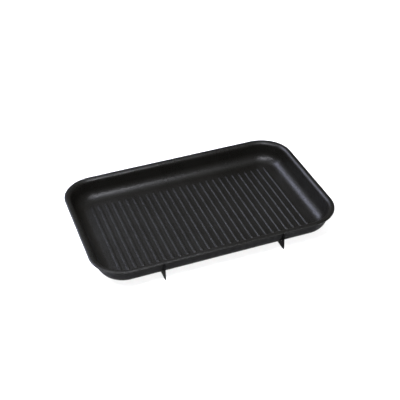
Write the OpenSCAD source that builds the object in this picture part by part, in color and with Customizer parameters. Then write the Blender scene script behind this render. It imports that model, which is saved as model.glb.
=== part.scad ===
// Ribbed grill plate of a table-top hibachi, standing on two sheet-steel rails.
// Millimetres, +Z up, long side along X, cooking ribs along Y.
// Origin: centre of the footprint, on the surface that the rails stand on.

/* [Plate] */
// Length of the rim along X
plate_l = 350; // [300:1:420]
// Width of the rim along Y
plate_w = 228; // [210:1:260]
// Height of the casting, from its flat underside to the top of the rim
plate_h = 30.8; // [28:0.1:36]
// Radius of the rim's corners, seen from above
corner_r = 47; // [40:1:60]
// Thickness of the floor, the wall and the rim
shell_t = 2.6; // [2:0.1:3]
// Distance from the rim's outer edge in to the top of the wall's outer face
rim_w = 6.4; // [6:0.1:9]
// Radius that rolls the top of the rim over into the inner wall
lip_r = 6.5; // [4:0.1:6.5]
// Slope of the wall, in degrees away from upright
draft = 12; // [5:1:15]
// Radius between the inner wall and the floor
fillet_r = 16.7; // [14:0.1:17]

/* [Cooking ribs] */
// Number of ribs
rib_n = 27; // [11:2:27]
// Distance from one rib to the next
rib_pitch = 10.45; // [9:0.05:10.45]
// Width of a rib at its foot
rib_w = 5; // [3:0.1:6]
// Width of a rib's flat crest
rib_crest = 2.6; // [1:0.1:3]
// Height of a rib above the floor
rib_h = 1.1; // [0.8:0.1:3]
// Length of a rib along Y, over its sloping ends
rib_l = 155; // [100:1:156]
// Length of the slope at each end of a rib
rib_ramp = 4; // [1:0.5:8]

/* [Rails] */
// Distance from the plate's centre line to the middle of a rail's web
rail_x = 84.6; // [60:0.1:110]
// Thickness of the rails' sheet
rail_t = 1.5; // [1:0.1:1.5]
// Height of the plate's underside above the surface that the rails stand on
rail_gap = 3.8; // [3.8:0.1:8]
// Distance from the rim's outer edge in to the ends of the rails
rail_inset = 6.4; // [5:0.1:7]
// Distance from the top of the rim down to the top of the rails' ends
rail_drop = 9; // [6:0.5:12]
// Clearance between a web and the curved sides of the plate
rail_clear = 0.3; // [0.1:0.1:0.8]
// Inner radius of the bend between a web and its tabs
bend_r = 0.5; // [0.3:0.1:1]
// Length of each fixing tab along Y
tab_l = 22; // [14:1:40]
// Width of each fixing tab, inboard of the web
tab_w = 13; // [11:1:16]
// Distance between neighbouring fixing tabs
tab_pitch = 60; // [40:1:62]
// Width of the relief notch at each end of a tab
notch_w = 1; // [0.5:0.1:2]

/* [Fixings] */
// Diameter of the weld studs
stud_d = 3; // [2:0.5:3]
// Diameter of the holes in the tabs
stud_hole_d = 3.4; // [3.2:0.1:4]
// Outer diameter of the lock washers
washer_d = 6.5; // [6:0.1:8]
// Thickness of the lock washers
washer_t = 0.4; // [0.3:0.1:0.6]
// Number of teeth round a lock washer
washer_teeth = 12; // [8:1:16]
// Width of the thin nuts across their flats
nut_af = 5.5; // [5:0.1:7]
// Height of the thin nuts
nut_t = 1.8; // [1.2:0.1:1.8]
// Height of the chamfer at each end of a nut or stud
chamfer = 0.3; // [0.1:0.05:0.4]

/* [Hidden] */
$fn = 96;

rim_top = rail_gap + plate_h;               // height of the rim above the surface
rim_under = rim_top - shell_t;
floor_z = rail_gap + shell_t;
corner_x = plate_l / 2 - corner_r;          // centre of each rim corner
corner_y = plate_w / 2 - corner_r;
outer_fillet_r = fillet_r + shell_t;
rib_x = [for (i = [0 : rib_n - 1]) (i - (rib_n - 1) / 2) * rib_pitch];
tab_z = rail_gap - rail_t;                  // underside of the tabs
web_steps = 16;                             // flats along each curve of a web
bend_out_r = bend_r + rail_t;
bend_x = rail_x + rail_t / 2 - bend_out_r;  // axis of the bends
bend_z = rail_gap - bend_out_r;
stud_x = rail_x - (rail_t + tab_w) / 2;     // middle of the tabs
stud_y = [-tab_pitch, 0, tab_pitch];
stud_l = rail_t + washer_t + nut_t;         // the studs end flush with the nuts

coating = [0.16, 0.16, 0.17];
rail_black = [0.10, 0.10, 0.11];
zinc = [0.62, 0.63, 0.65];
zinc_dark = [0.50, 0.51, 0.53];

// A casting's wall leans outwards: unit vector square to it, pointing out and down.
wall_normal = [cos(draft), -sin(draft)];

// Centres of the section's bends, from a corner's axis outwards: where the floor turns up
// into the wall, and where the wall rolls over into the rim.
foot_z = floor_z + fillet_r;
foot = [
    corner_r - rim_w - (outer_fillet_r + (rim_under - foot_z) * sin(draft)) / cos(draft),
    foot_z
];
lip_z = rim_top - lip_r;
lip = [foot.x + (fillet_r + lip_r + (lip_z - foot_z) * sin(draft)) / cos(draft), lip_z];
rim_edge = [corner_r - shell_t / 2, rim_top - shell_t / 2];

// A bend in the casting round centre: inner radius r, from angle a0 to angle a1.
module bend(centre, r, a0, a1) {
    far = 2 * (r + shell_t);
    translate(centre)
        intersection() {
            difference() {
                circle(r + shell_t);
                circle(r);
            }
            polygon([[0, 0], far * [cos(a0), sin(a0)], far * [cos(a1), sin(a1)]]);
        }
}

// Radial section through the casting, from a corner's axis outwards: floor, foot of the
// wall, wall, lip, flat of the rim and its round edge.
module plate_section() {
    translate([0, rail_gap]) square([foot.x, shell_t]);
    bend(foot, fillet_r, -90, -draft);
    polygon([
        foot + fillet_r * wall_normal,
        foot + outer_fillet_r * wall_normal,
        lip - (lip_r - shell_t) * wall_normal,
        lip - lip_r * wall_normal,
    ]);
    bend(lip, lip_r - shell_t, 90, 180 - draft);
    translate([lip.x, rim_under]) square([rim_edge.x - lip.x, shell_t]);
    translate(rim_edge) circle(d = shell_t);
}

// One straight side of the casting, of the given length, facing +X.
module side(length) {
    rotate([90, 0, 0])
        linear_extrude(length, center = true) plate_section();
}

// A quarter turn of the casting, for the corner that faces +X and +Y.
module corner() {
    rotate_extrude(angle = 90) plate_section();
}

// Outline of a rib: foot of the given width, crest of the given width, sunk into the floor.
module rib_outline(foot, crest) {
    polygon([
        [-foot / 2, -shell_t / 2],
        [-foot / 2, 0],
        [-crest / 2, rib_h],
        [crest / 2, rib_h],
        [foot / 2, 0],
        [foot / 2, -shell_t / 2],
    ]);
}

module rib() {
    intersection() {
        rotate([90, 0, 0])
            linear_extrude(rib_l, center = true) rib_outline(rib_w, rib_crest);
        rotate([90, 0, 90])
            linear_extrude(rib_w, center = true) rib_outline(rib_l, rib_l - 2 * rib_ramp);
    }
}

module grill_plate() {
    color(coating) {
        for (turn = [0, 180])
            rotate([0, 0, turn]) {
                translate([corner_x, corner_y, 0]) corner();
                translate([-corner_x, corner_y, 0]) rotate([0, 0, 90]) corner();
                translate([corner_x, 0, 0]) side(2 * corner_y);
                translate([0, corner_y, 0]) rotate([0, 0, 90]) side(2 * corner_x);
            }
        translate([-corner_x, -corner_y, rail_gap])
            cube([2 * corner_x, 2 * corner_y, shell_t]);
        for (x = rib_x) translate([x, 0, floor_z]) rib();
    }
}

// Half of a rail's web, with Y as x and Z as y: it fills the space below the underside
// and the curve of the plate, all but the clearance, and ends under the rim.
module half_web() {
    r = outer_fillet_r + rail_clear;
    wall_top = foot.x + (r + (rim_top - foot.y) * sin(draft)) / cos(draft);
    turn = (90 - draft) / web_steps;
    difference() {
        square([plate_w / 2 - rail_inset, rim_top - rail_drop]);
        translate([corner_y, 0])
            polygon([
                [-corner_y - 1, foot.y - r],
                for (i = [0 : web_steps]) foot + r * [sin(i * turn), -cos(i * turn)],
                [wall_top, rim_top],
                [-corner_y - 1, rim_top],
            ]);
    }
}

// A tab seen along Y: up from the web, round the bend and level to the tab's edge.
module tab_section() {
    translate([bend_x + bend_r, bend_z - 1]) square([rail_t, 1]);
    translate([bend_x, bend_z])
        intersection() {
            difference() {
                circle(bend_out_r);
                circle(bend_r);
            }
            square(bend_out_r);
        }
    tab_edge = rail_x - rail_t / 2 - tab_w;
    translate([tab_edge, tab_z]) square([bend_x - tab_edge, rail_t]);
}

// A rail for the +X side, with its tabs turned inboard against the plate's underside.
module rail() {
    color(rail_black)
        difference() {
            union() {
                difference() {
                    translate([rail_x, 0, 0])
                        rotate([90, 0, 90])
                            linear_extrude(rail_t, center = true) {
                                half_web();
                                mirror([1, 0]) half_web();
                            }
                    for (y = stud_y)
                        translate([rail_x - rail_t, y - tab_l / 2 - notch_w, bend_z])
                            cube([2 * rail_t, tab_l + 2 * notch_w, rail_gap]);
                }
                for (y = stud_y)
                    translate([0, y, 0])
                        rotate([90, 0, 0]) linear_extrude(tab_l, center = true) tab_section();
            }
            for (y = stud_y)
                translate([stud_x, y, 0]) cylinder(h = rail_gap + 1, d = stud_hole_d);
        }
}

module studs() {
    color(zinc)
        for (y = stud_y)
            translate([stud_x, y, rail_gap - stud_l]) {
                cylinder(h = chamfer, d1 = stud_d - 2 * chamfer, d2 = stud_d);
                translate([0, 0, chamfer]) cylinder(h = stud_l - chamfer, d = stud_d);
            }
}

// A flat ring with a slot cut in its edge between one tooth and the next.
module washers() {
    color(zinc_dark)
        for (y = stud_y)
            translate([stud_x, y, tab_z - washer_t])
                linear_extrude(washer_t)
                    difference() {
                        circle(d = washer_d);
                        circle(d = stud_hole_d);
                        for (i = [0 : washer_teeth - 1])
                            rotate(i * 360 / washer_teeth)
                                translate([washer_d / 2 - 0.8, -0.35]) square([2, 0.7]);
                    }
}

// Thin hexagon nuts, with the corners of both ends chamfered.
module nuts() {
    across_corners = nut_af / cos(30);
    color(zinc)
        for (y = stud_y)
            translate([stud_x, y, tab_z - washer_t - nut_t])
                difference() {
                    intersection() {
                        cylinder(h = nut_t, d = across_corners, $fn = 6);
                        rotate_extrude()
                            polygon([
                                [0, 0],
                                [nut_af / 2, 0],
                                [across_corners / 2, chamfer],
                                [across_corners / 2, nut_t - chamfer],
                                [nut_af / 2, nut_t],
                                [0, nut_t],
                            ]);
                    }
                    translate([0, 0, -1]) cylinder(h = nut_t + 2, d = stud_d);
                }
}

grill_plate();
mirror([1, 0, 0]) rail();  // left_rail
rail();  // right_rail
mirror([1, 0, 0]) studs();  // left_rail_studs
studs();  // right_rail_studs
mirror([1, 0, 0]) washers();  // left_rail_washers
washers();  // right_rail_washers
mirror([1, 0, 0]) nuts();  // left_rail_nuts
nuts();  // right_rail_nuts
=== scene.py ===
"""Looks for the ribbed hibachi grill plate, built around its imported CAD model."""
import math

import bpy
import numpy as np
from mathutils import Matrix, Vector


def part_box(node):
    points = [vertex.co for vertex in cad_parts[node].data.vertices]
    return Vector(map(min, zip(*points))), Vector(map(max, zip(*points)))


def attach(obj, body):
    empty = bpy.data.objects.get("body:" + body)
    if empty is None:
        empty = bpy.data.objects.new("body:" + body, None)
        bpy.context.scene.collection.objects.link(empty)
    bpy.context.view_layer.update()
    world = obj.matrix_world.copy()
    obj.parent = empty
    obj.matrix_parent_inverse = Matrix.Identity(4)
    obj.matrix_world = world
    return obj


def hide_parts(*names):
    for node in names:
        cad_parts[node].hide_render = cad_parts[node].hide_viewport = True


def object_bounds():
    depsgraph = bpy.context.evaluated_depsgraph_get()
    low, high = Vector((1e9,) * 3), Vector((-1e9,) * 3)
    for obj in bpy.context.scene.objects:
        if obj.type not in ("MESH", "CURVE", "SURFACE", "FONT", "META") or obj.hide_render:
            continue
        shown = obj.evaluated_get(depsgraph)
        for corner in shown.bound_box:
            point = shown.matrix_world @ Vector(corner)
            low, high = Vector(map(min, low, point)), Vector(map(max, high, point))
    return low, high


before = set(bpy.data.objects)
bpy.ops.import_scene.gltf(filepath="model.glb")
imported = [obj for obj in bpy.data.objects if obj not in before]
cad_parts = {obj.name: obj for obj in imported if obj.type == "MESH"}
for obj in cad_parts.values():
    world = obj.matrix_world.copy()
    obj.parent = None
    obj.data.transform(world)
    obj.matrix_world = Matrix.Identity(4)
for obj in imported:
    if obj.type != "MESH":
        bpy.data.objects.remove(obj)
cad_low, cad_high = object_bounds()

MM = 0.001

# ---------------------------------------------------------------- dimensions
plate_low, plate_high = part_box("grill_plate")
HALF_L, HALF_W, RIM_TOP = plate_high
UNDERSIDE = plate_low.z
CORNER_R = 47 * MM          # rim corners, seen from above
SHELL_T = 2.6 * MM          # floor, wall and rim
RIM_W = 6.4 * MM            # rim's outer edge to the wall's outer face, under the rim
LIP_R = 6.5 * MM            # rim rolling over into the inner wall
FILLET_R = 16.7 * MM        # inner wall to floor
DRAFT = math.radians(12)    # the wall's lean away from upright
EDGE_REACH = 1.8 * MM       # how far in the rim's edge is rounded
CORNER_X = HALF_L - CORNER_R
CORNER_Y = HALF_W - CORNER_R
FLOOR_Z = UNDERSIDE + SHELL_T
OUTER_FILLET_R = FILLET_R + SHELL_T

# centres of the section's two bends, as (inset from the rim's outer edge, z)
FOOT_Z = FLOOR_Z + FILLET_R
LIP_Z = RIM_TOP - LIP_R
FOOT_INSET = RIM_W + (
    OUTER_FILLET_R + (RIM_TOP - SHELL_T - FOOT_Z) * math.sin(DRAFT)) / math.cos(DRAFT)
LIP_INSET = FOOT_INSET - (
    FILLET_R + LIP_R + (LIP_Z - FOOT_Z) * math.sin(DRAFT)) / math.cos(DRAFT)

RIB_COUNT = 27
RIB_PITCH = 10.45 * MM
RIB_HEIGHT = 1.1 * MM
RIB_FOOT = 2.6 * MM         # half width at the foot
RIB_CREST = 1.2 * MM        # half width of the flat crest
RIB_ROUNDING = 0.25         # share of a rib's slope that is rounded off at each end
RIB_HALF_LENGTH = 77.5 * MM
RIB_END = 4.0 * MM          # length of the rounded slope at each end

# ---------------------------------------------------- how finely the plate is divided
GRID_X = 139.5 * MM         # the finely divided part of the floor, which holds the ribs
GRID_Y = 78.2 * MM
RIB_MIDDLE = 0.7 * MM       # column on a rib's crest, beside its middle one
RIB_GAP = 3.4 * MM          # column on the floor beside a rib, from the rib's middle
# columns on a rib's slope, from the crest's edge at 0 to the foot at 1
SLOPE_COLUMNS = (-0.06, 0.01, 0.09, 0.16, 0.25, 0.36, 0.5, 0.64, 0.75, 0.84, 0.91, 0.99, 1.07)
END_ROWS = 14               # rows over the slope at each end of the ribs
ROWS_BEFORE = 1 * MM        # where those rows start, before the slope
ROWS_PAST = 0.3 * MM        # and where they stop, past the rib
MIDDLE_STEPS = 20           # steps along the ribs between those ends
CORNER_STEPS = 24           # steps of the rings in half a corner of the rim
CORNER_ROOM = 0.4           # share of such a step that has to be free for another grid line
SIDE_STEPS = 8              # steps of the rings in half a straight side
FILLET_STEPS = 22           # steps of the section's arcs
LIP_STEPS = 16
UNDER_LIP_STEPS = 10
EDGE_STEPS = 16
FLAT_SHARES = (0.08, 0.5, 0.92)     # rings on a flat part, the outer two near its ends to keep it flat

# --------------------------------------------------------------------- view
VIEW_AZIMUTH = -19.193      # degrees, from in front and a little to the left
VIEW_ELEVATION = 36.136
VIEW_ROLL = -1.811
VIEW_DISTANCE = 1.1995      # m
VIEW_LENS = 76.72           # mm
VIEW_SENSOR = 36.0          # mm
VIEW_CLIP = 0.05            # m
VIEW_SHIFT = Vector((3.207, -1.692, -0.744)) * MM   # from the middle of the rim to what is looked at

# -------------------------------------------------------------------- lights
FLOOR_REACH = 60.0          # m, far enough to have its edge out of sight
FLOOR_GREY = 0.93
FLOOR_WASH = 2.9            # W/m2
SKY = 0.17                  # the fill's strength, where 1 is white
WHITE = (1.0, 1.0, 1.0)
# name: azimuth and elevation (degrees), distance, width and height (m), power (W), colour
SOFTBOXES = {
    "back_left": (-147, 28, 2.2, 1.0, 0.6, 0.8, WHITE),
    "back_left_up": (-150, 40, 2.2, 1.0, 0.6, 26.5, (0.75, 0.78, 1.0)),
    "rib_edge": (-139, 25, 0.60, 0.20, 0.14, 0.34, (0.85, 0.88, 1.0)),
    "left_near": (-80, 50, 0.75, 0.14, 0.14, 1.5, (0.88, 0.88, 1.0)),
    "top_left_near": (-75, 62, 0.8, 0.35, 0.35, 1.0, WHITE),
    "front_near": (-12, 66, 0.76, 0.14, 0.14, 2.9, (0.92, 0.93, 1.0)),
    "overhead": (20, 80, 1.5, 1.0, 1.0, 3.2, WHITE),
    "overhead_near": (-60, 80, 0.8, 0.4, 0.4, 1.3, (0.8, 0.8, 1.0)),
    "back": (-170, 58, 1.4, 0.8, 0.6, 1.4, WHITE),
    "front": (5, 45, 1.8, 1.5, 1.0, 1.5, (0.94, 0.93, 1.0)),
}


# ------------------------------------------------------------ material nodes
NOISE_START = (0.731, 0.547, 0.389)     # keeps the noise's own origin, where it has rings, off the object


class Shader:
    """A material with one Principled shader, and short calls for the nodes that feed it."""

    def __init__(self, name, **constants):
        self.material = bpy.data.materials.new(name)
        self.material.use_nodes = True
        self.tree = self.material.node_tree
        self.principled = self.tree.nodes["Principled BSDF"]
        for socket, value in constants.items():
            self.principled.inputs[socket.replace("_", " ")].default_value = value
        coordinates = self.tree.nodes.new("ShaderNodeTexCoord")
        self.place = coordinates.outputs["Object"]
        shift = self.tree.nodes.new("ShaderNodeVectorMath")
        shift.operation = "ADD"
        shift.inputs[1].default_value = NOISE_START
        self.link(self.place, shift, "Vector")
        self.noise_place = shift.outputs["Vector"]

    def link(self, source, node, socket):
        self.tree.links.new(source, node.inputs[socket])

    def feed(self, source, socket):
        self.tree.links.new(source, self.principled.inputs[socket])

    def noise(self, size, detail=2.0, roughness=0.5):
        """Noise whose features are about size metres across."""
        node = self.tree.nodes.new("ShaderNodeTexNoise")
        node.inputs["Scale"].default_value = 1.0 / size
        node.inputs["Detail"].default_value = detail
        node.inputs["Roughness"].default_value = roughness
        self.link(self.noise_place, node, "Vector")
        return node.outputs["Fac"]

    def ramp(self, source, low, high, out_low=0.0, out_high=1.0):
        """Turns source from low to high into a smooth rise from out_low to out_high."""
        node = self.tree.nodes.new("ShaderNodeMapRange")
        node.interpolation_type = "SMOOTHSTEP"
        node.inputs["From Min"].default_value = low
        node.inputs["From Max"].default_value = high
        node.inputs["To Min"].default_value = out_low
        node.inputs["To Max"].default_value = out_high
        self.link(source, node, "Value")
        return node.outputs["Result"]

    def math(self, operation, first, second):
        node = self.tree.nodes.new("ShaderNodeMath")
        node.operation = operation
        self.link(first, node, 0)
        self.link(second, node, 1)
        return node.outputs["Value"]

    def mix(self, factor, first, second):
        """Blends two colours, each a plain colour or another node's output."""
        node = self.tree.nodes.new("ShaderNodeMix")
        node.data_type = "RGBA"
        self.link(factor, node, "Factor")
        for socket, value in (("A", first), ("B", second)):
            target = next(s for s in node.inputs if s.name == socket and s.type == "RGBA")
            if isinstance(value, tuple):
                target.default_value = (*value, 1.0)
            else:
                self.tree.links.new(value, target)
        return next(s for s in node.outputs if s.type == "RGBA")

    def bump(self, height, distance, strength, normal=None):
        node = self.tree.nodes.new("ShaderNodeBump")
        node.inputs["Distance"].default_value = distance
        node.inputs["Strength"].default_value = strength
        self.link(height, node, "Height")
        if normal:
            self.link(normal, node, "Normal")
        return node.outputs["Normal"]

    def axis(self, letter):
        node = self.tree.nodes.new("ShaderNodeSeparateXYZ")
        self.link(self.place, node, "Vector")
        return node.outputs[letter]


# ----------------------------------------------------------------- materials
def nonstick_coating():
    """Satin black sprayed coating: a fine pebble, a faint cloudiness and a few pale specks."""
    s = Shader("nonstick_coating", IOR=1.5, Specular_IOR_Level=0.3)
    cloud = s.noise(35 * MM, detail=3)
    grain = s.noise(0.9 * MM, detail=3, roughness=0.6)
    colour = s.mix(s.ramp(cloud, 0.3, 0.7), (0.0070, 0.0067, 0.0053), (0.0090, 0.0086, 0.0070))
    speck = s.ramp(s.noise(0.7 * MM, detail=1), 0.70, 0.78)
    s.feed(s.mix(speck, colour, (0.036, 0.035, 0.033)), "Base Color")
    s.feed(s.math("ADD", s.ramp(grain, 0.3, 0.7, -0.05, 0.05),
                  s.ramp(cloud, 0.3, 0.7, 0.29, 0.33)), "Roughness")
    pebble = s.bump(grain, 0.05 * MM, 0.8)
    peel = s.bump(s.noise(2.3 * MM, detail=3, roughness=0.6), 0.5 * MM, 0.7, normal=pebble)
    s.feed(s.bump(s.noise(7 * MM, detail=2), 0.15 * MM, 0.5, normal=peel), "Normal")
    return s.material


def outside_coating_painted_shade():
    """Duller coating on the outside of the wall and under the floor: the inside's coating, with its colour
    painted darker as painted shade.
    """
    s = Shader("outside_coating_painted_shade", IOR=1.5, Specular_IOR_Level=0.04)
    cloud = s.noise(28 * MM, detail=3)
    grain = s.noise(1.1 * MM, detail=3, roughness=0.6)
    # painted shade: the same coating as inside, given a colour well below the inside's
    s.feed(s.mix(s.ramp(cloud, 0.3, 0.7), (0.0028, 0.0028, 0.0027), (0.0040, 0.0039, 0.0038)),
           "Base Color")
    s.feed(s.ramp(grain, 0.3, 0.7, 0.44, 0.56), "Roughness")
    s.feed(s.bump(grain, 0.05 * MM, 0.8), "Normal")
    return s.material


def rail_paint():
    """Baked black paint with orange peel, rubbed through to grey along the feet."""
    s = Shader("rail_paint", IOR=1.48, Specular_IOR_Level=0.02)
    grain = s.noise(1.4 * MM, detail=2)
    scuff = s.noise(5 * MM, detail=5, roughness=0.65)
    low = s.ramp(s.axis("Z"), 0.0, 0.9 * MM, 1.0, 0.0)
    worn = s.ramp(s.math("MULTIPLY", low, scuff), 0.40, 0.52)
    s.feed(s.mix(worn, (0.0032, 0.0032, 0.0032), (0.20, 0.20, 0.205)), "Base Color")
    s.feed(worn, "Metallic")
    s.feed(s.ramp(scuff, 0.3, 0.7, 0.44, 0.60), "Roughness")
    s.feed(s.bump(grain, 0.03 * MM, 0.6), "Normal")
    return s.material


def zinc_plate():
    """Bright zinc with a faint warm bloom and fine scratches."""
    s = Shader("zinc_plate", Metallic=1.0)
    bloom = s.noise(3 * MM, detail=3)
    s.feed(s.mix(s.ramp(bloom, 0.35, 0.7), (0.56, 0.57, 0.60), (0.58, 0.53, 0.42)), "Base Color")
    s.feed(s.ramp(s.noise(0.8 * MM, detail=4), 0.3, 0.7, 0.24, 0.42), "Roughness")
    s.feed(s.bump(s.noise(0.5 * MM, detail=3), 0.01 * MM, 0.5), "Normal")
    return s.material


def drawn_aluminium():
    """Pale satin aluminium, a little oxidised."""
    s = Shader("drawn_aluminium", Metallic=1.0)
    s.feed(s.mix(s.noise(2 * MM, detail=4), (0.60, 0.60, 0.62), (0.75, 0.75, 0.76)), "Base Color")
    s.feed(s.ramp(s.noise(0.6 * MM, detail=3), 0.3, 0.7, 0.30, 0.46), "Roughness")
    return s.material


def floor_grey():
    """Plain matt ground, nearly white."""
    material = bpy.data.materials.new("studio_floor")
    material.use_nodes = True
    shader = material.node_tree.nodes["Principled BSDF"]
    shader.inputs["Base Color"].default_value = (FLOOR_GREY, FLOOR_GREY, FLOOR_GREY, 1.0)
    shader.inputs["Roughness"].default_value = 0.9
    shader.inputs["Specular IOR Level"].default_value = 0.1
    return material


# -------------------------------------------------------------------- meshes
def add_to_scene(name, data):
    added = bpy.data.objects.new(name, data)
    bpy.context.scene.collection.objects.link(added)
    return added


def mesh_object(name, vertices, faces, material):
    mesh = bpy.data.meshes.new(name)
    mesh.from_pydata([tuple(v) for v in vertices], [], faces)
    mesh.validate()
    mesh.shade_smooth()
    piece = add_to_scene(name, mesh)
    mesh.materials.append(material)
    return piece


def arc(cx, cz, radius, start, stop, steps):
    """Points on an arc, its ends included, with angles in degrees."""
    return [
        (cx + radius * math.cos(a), cz + radius * math.sin(a))
        for a in np.radians(np.linspace(start, stop, steps + 1))
    ]


# ---------------------------------------------------------------------- ribs
def slope(t):
    """0 to 1 along a straight slope that is rounded off at both ends."""
    t = np.clip(t, 0.0, 1.0)
    near_end = np.minimum(t, 1.0 - t)
    rounded = near_end ** 2 / (2 * RIB_ROUNDING * (1 - RIB_ROUNDING))
    even = (near_end - RIB_ROUNDING / 2) / (1 - RIB_ROUNDING)
    rise = np.where(near_end < RIB_ROUNDING, rounded, even)
    return np.where(t < 0.5, rise, 1.0 - rise)


def rib_height(x, y):
    """Height of the ribs above the floor at a point."""
    offset = (x / RIB_PITCH + 0.5) % 1.0 - 0.5
    across = np.abs(offset) * RIB_PITCH
    past_crest = np.maximum(np.abs(y) - (RIB_HALF_LENGTH - RIB_END), 0.0)
    along = past_crest / RIB_END * RIB_FOOT
    distance = np.hypot(across, along)
    return RIB_HEIGHT * slope((RIB_FOOT - distance) / (RIB_FOOT - RIB_CREST))


def with_corner_steps(values, corner, limit):
    """Adds even steps from a corner's axis to the grid's edge, where there is room for them."""
    steps = np.linspace(corner, limit, CORNER_STEPS, endpoint=False)
    room = CORNER_ROOM * (limit - corner) / CORNER_STEPS
    extra = [v for v in (*-steps, *steps) if np.abs(values - v).min() > room]
    return np.sort(np.concatenate([values, extra]))


def grid_columns():
    """X positions that follow every rib's rounded section."""
    on_slope = RIB_CREST + (RIB_FOOT - RIB_CREST) * np.array(SLOPE_COLUMNS)
    across = [0.0, RIB_MIDDLE, *on_slope, RIB_GAP]
    columns = {-GRID_X, GRID_X}
    for i in range(RIB_COUNT):
        centre = (i - (RIB_COUNT - 1) / 2) * RIB_PITCH
        for x in across:
            columns.update((round(centre - x, 7), round(centre + x, 7)))
    columns = np.array([c for c in columns if abs(c) <= GRID_X])
    return with_corner_steps(columns, CORNER_X, GRID_X)


def grid_rows():
    """Y positions: close together over the ribs' ends, far apart between them."""
    inner = RIB_HALF_LENGTH - RIB_END - ROWS_BEFORE
    ends = np.linspace(inner, RIB_HALF_LENGTH + ROWS_PAST, END_ROWS)
    middle = np.linspace(-inner, inner, MIDDLE_STEPS + 1)[1:-1]
    rows = np.concatenate([[-GRID_Y], -ends[::-1], middle, ends, [GRID_Y]])
    return with_corner_steps(rows, CORNER_Y, GRID_Y)


# --------------------------------------------------------------------- plate
# The casting is one closed mesh. Inside, the floor is a fine grid with the ribs in it. Rings grow
# from the grid's edge over the wall, the rim and the outside, and the underside closes them.

def floor_grid(columns, rows):
    """The floor's inside with its ribs, as vertices and quads."""
    nx = len(columns)
    x, y = np.meshgrid(columns, rows)
    z = FLOOR_Z + rib_height(x, y)
    vertices = list(zip(x.ravel(), y.ravel(), z.ravel()))
    faces = [
        (j * nx + i, j * nx + i + 1, (j + 1) * nx + i + 1, (j + 1) * nx + i)
        for j in range(len(rows) - 1) for i in range(nx - 1)
    ]
    return vertices, faces


def flat_between(start, end):
    """Points on a flat part of the section, between the ends of its neighbours."""
    return [
        (start[0] + (end[0] - start[0]) * t, start[1] + (end[1] - start[1]) * t)
        for t in FLAT_SHARES
    ]


def plate_section():
    """(inset from the rim's outer edge, z) of every ring, from the floor over the rim to the underside."""
    lean = math.degrees(DRAFT)
    half_t = SHELL_T / 2
    parts = [
        arc(FOOT_INSET, FOOT_Z, FILLET_R, 270, 180 + lean, FILLET_STEPS),
        arc(LIP_INSET, LIP_Z, LIP_R, lean, 90, LIP_STEPS),
        [
            (EDGE_REACH + EDGE_REACH * x, RIM_TOP - half_t + half_t * z)
            for x, z in arc(0, 0, 1, 90, 270, EDGE_STEPS)
        ],
        arc(LIP_INSET, LIP_Z, LIP_R - SHELL_T, 90, lean, UNDER_LIP_STEPS),
        arc(FOOT_INSET, FOOT_Z, OUTER_FILLET_R, 180 + lean, 270, FILLET_STEPS),
    ]
    points = list(parts[0])
    for part in parts[1:]:
        points += flat_between(points[-1], part[0]) + part
    return points


def ring_lines(values, corner, limit):
    """Which grid lines the rings start from: even steps round the corners, and a few between them."""
    steps = np.linspace(corner, limit, CORNER_STEPS + 1)
    between = np.linspace(0.0, corner, SIDE_STEPS, endpoint=False)
    return sorted({
        int(np.abs(values - side * v).argmin())
        for v in (*steps, *between) for side in (-1, 1)
    })


def border(columns, rows):
    """Places (column, row) round a grid, counter-clockwise from the front left."""
    return (
        [(i, rows[0]) for i in columns]
        + [(columns[-1], j) for j in rows[1:]]
        + [(i, rows[-1]) for i in columns[-2::-1]]
        + [(columns[0], j) for j in rows[-2:0:-1]]
    )


def perimeter(columns, rows):
    """For each ring vertex, in border's order: where its corner's axis is, and which way the rings
    grow from it."""
    def turn(value, corner, limit):
        """0 on a straight side, then evenly up to 45 degrees at the grid's corner."""
        return min(max((abs(value) - corner) / (limit - corner), 0.0), 1.0) * math.pi / 4

    def along_x(x, side):
        angle = turn(x, CORNER_X, GRID_X)
        axis = (max(-CORNER_X, min(CORNER_X, x)), side * CORNER_Y)
        return axis, (math.copysign(math.sin(angle), x), side * math.cos(angle))

    def along_y(y, side):
        angle = turn(y, CORNER_Y, GRID_Y)
        axis = (side * CORNER_X, max(-CORNER_Y, min(CORNER_Y, y)))
        return axis, (side * math.cos(angle), math.copysign(math.sin(angle), y))

    return (
        [along_x(x, -1) for x in columns]
        + [along_y(y, 1) for y in rows[1:]]
        + [along_x(x, 1) for x in columns[-2::-1]]
        + [along_y(y, -1) for y in rows[-2:0:-1]]
    )


def grid_to_ring(edge, starts, ring):
    """Flat faces from the grid's closely divided edge to the first ring, which has fewer vertices."""
    faces = []
    for k, start in enumerate(starts):
        following = (k + 1) % len(starts)
        end = starts[following] or len(edge)
        inner = [edge[n % len(edge)] for n in range(end, start - 1, -1)]
        faces.append((*inner, ring[k], ring[following]))
    return faces


def ring_to_ring(inner, outer):
    """Quads from one ring to the next."""
    following = [*range(1, len(inner)), 0]
    return [(inner[n], inner[k], outer[k], outer[n]) for k, n in enumerate(following)]


def underside(ring, across, along):
    """Closes the last ring, which has across vertices along its front and back and along vertices at
    each end: strips from front to back, and a face at each end."""
    front = ring[:across]
    right = ring[across - 1:across + along - 1]
    back = ring[across + along - 2:2 * across + along - 2][::-1]
    left = ring[2 * across + along - 3:] + [ring[0]]
    strips = [(front[i], back[i], back[i + 1], front[i + 1]) for i in range(across - 1)]
    return strips + [tuple(reversed(right)), tuple(reversed(left))]


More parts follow.
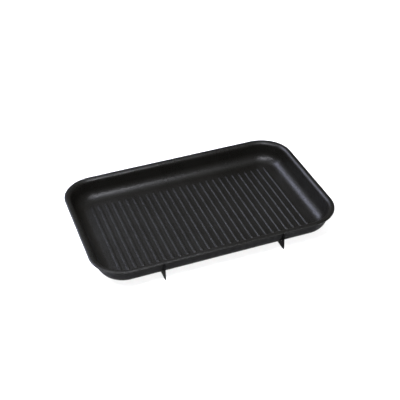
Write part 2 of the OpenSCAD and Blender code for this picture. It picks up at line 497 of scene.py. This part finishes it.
def plate_mesh():
    """Vertices and faces of the casting, and how many of its faces are on the inside and the rim."""
    columns, rows = grid_columns(), grid_rows()
    ring_columns = ring_lines(columns, CORNER_X, GRID_X)
    ring_rows = ring_lines(rows, CORNER_Y, GRID_Y)
    vertices, faces = floor_grid(columns, rows)
    nx, ny = len(columns), len(rows)
    edge = [j * nx + i for i, j in border(range(nx), range(ny))]
    starts = [edge.index(j * nx + i) for i, j in border(ring_columns, ring_rows)]
    places = perimeter(columns[ring_columns], rows[ring_rows])
    section = plate_section()
    widest = min(inset for inset, _ in section)
    last = None
    for inset, height in section:
        ring = [len(vertices) + k for k in range(len(places))]
        reach = CORNER_R - inset
        vertices += [(x + out_x * reach, y + out_y * reach, height)
                     for (x, y), (out_x, out_y) in places]
        faces += ring_to_ring(last, ring) if last else grid_to_ring(edge, starts, ring)
        last = ring
        if inset == widest:
            inside = len(faces)
    faces += underside(last, len(ring_columns), len(ring_rows))
    return vertices, faces, inside


def build_plate():
    vertices, faces, inside = plate_mesh()
    plate = mesh_object("plate_casting", vertices, faces, nonstick_coating())
    plate.data.materials.append(outside_coating_painted_shade())
    # the outside and underside faces take the coating painted darker, as painted shade
    for face in plate.data.polygons:
        face.material_index = int(face.index >= inside)
    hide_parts("grill_plate")
    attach(plate, "root")


# ----------------------------------------------------------- rails and fixings
def finish_node(name, material, bevel=None):
    """Gives a CAD node its material, and small round edges where it has none."""
    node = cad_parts[name]
    node.data.materials.clear()
    node.data.materials.append(material)
    if bevel is None:
        return
    edge = node.modifiers.new("edge", "BEVEL")
    edge.width = bevel
    edge.segments = 3
    edge.limit_method = "ANGLE"
    edge.harden_normals = True


def build_rails():
    paint, zinc, aluminium = rail_paint(), zinc_plate(), drawn_aluminium()
    for side in ("left", "right"):
        finish_node(side + "_rail", paint, bevel=0.25 * MM)
        finish_node(side + "_rail_studs", aluminium, bevel=0.15 * MM)
        finish_node(side + "_rail_washers", zinc, bevel=0.06 * MM)
        finish_node(side + "_rail_nuts", zinc)


# --------------------------------------------------------------------- stage
def direction(azimuth, elevation):
    """Unit vector towards a place round the object, with azimuth 0 in front and 90 on the right."""
    a, e = math.radians(azimuth), math.radians(elevation)
    return Vector((math.sin(a) * math.cos(e), -math.cos(a) * math.cos(e), math.sin(e)))


def rim_middle():
    return Vector(((cad_low.x + cad_high.x) / 2, (cad_low.y + cad_high.y) / 2, cad_high.z))


def build_camera():
    back = direction(VIEW_AZIMUTH, VIEW_ELEVATION)
    level = Vector((0, 0, 1)).cross(back).normalized()
    right = Matrix.Rotation(math.radians(VIEW_ROLL), 3, back) @ level
    up = back.cross(right)
    turn = Matrix((right, up, back)).transposed()
    data = bpy.data.cameras.new("camera")
    data.lens = VIEW_LENS
    data.sensor_width = VIEW_SENSOR
    data.clip_start = VIEW_CLIP
    camera = add_to_scene("camera", data)
    place = rim_middle() + VIEW_SHIFT + back * VIEW_DISTANCE
    camera.matrix_world = Matrix.Translation(place) @ turn.to_4x4()
    bpy.context.scene.camera = camera
    bpy.context.scene.view_settings.view_transform = "Standard"


def build_floor():
    reach = FLOOR_REACH
    corners = [(-reach, -reach, 0), (reach, -reach, 0), (reach, reach, 0), (-reach, reach, 0)]
    floor = mesh_object("floor", corners, [(0, 1, 2, 3)], floor_grey())
    return floor


def build_floor_wash(floor):
    """A lamp for the floor alone, which keeps the ground round the object white."""
    washed = bpy.data.collections.new("washed")
    washed.objects.link(floor)
    data = bpy.data.lights.new("floor_wash", "SUN")
    data.energy = FLOOR_WASH
    lamp = add_to_scene("floor_wash", data)
    lamp.light_linking.receiver_collection = washed
    lamp.light_linking.blocker_collection = washed


def build_softboxes():
    """Area lamps that face the middle of the rim."""
    middle = rim_middle()
    for name, (azimuth, elevation, distance, width, height, power, colour) in SOFTBOXES.items():
        data = bpy.data.lights.new(name, "AREA")
        data.shape = "RECTANGLE"
        data.size, data.size_y = width, height
        data.energy = power
        data.color = colour
        lamp = add_to_scene(name, data)
        toward = direction(azimuth, elevation)
        lamp.location = middle + toward * distance
        lamp.rotation_mode = "QUATERNION"
        lamp.rotation_quaternion = toward.to_track_quat("Z", "Y")


def build_sky():
    """A dim sky for soft fill, which shows as a white backdrop behind the object."""
    world = bpy.data.worlds.new("studio")
    world.use_nodes = True
    tree = world.node_tree
    sky = tree.nodes["Background"]
    sky.inputs["Color"].default_value = (*WHITE, 1.0)
    ray = tree.nodes.new("ShaderNodeLightPath")
    strength = tree.nodes.new("ShaderNodeMapRange")
    strength.inputs["To Min"].default_value = SKY
    strength.inputs["To Max"].default_value = 1.0
    tree.links.new(ray.outputs["Is Camera Ray"], strength.inputs["Value"])
    tree.links.new(strength.outputs["Result"], sky.inputs["Strength"])
    bpy.context.scene.world = world


build_camera()
build_plate()
build_rails()
build_floor_wash(build_floor())
build_softboxes()
build_sky()
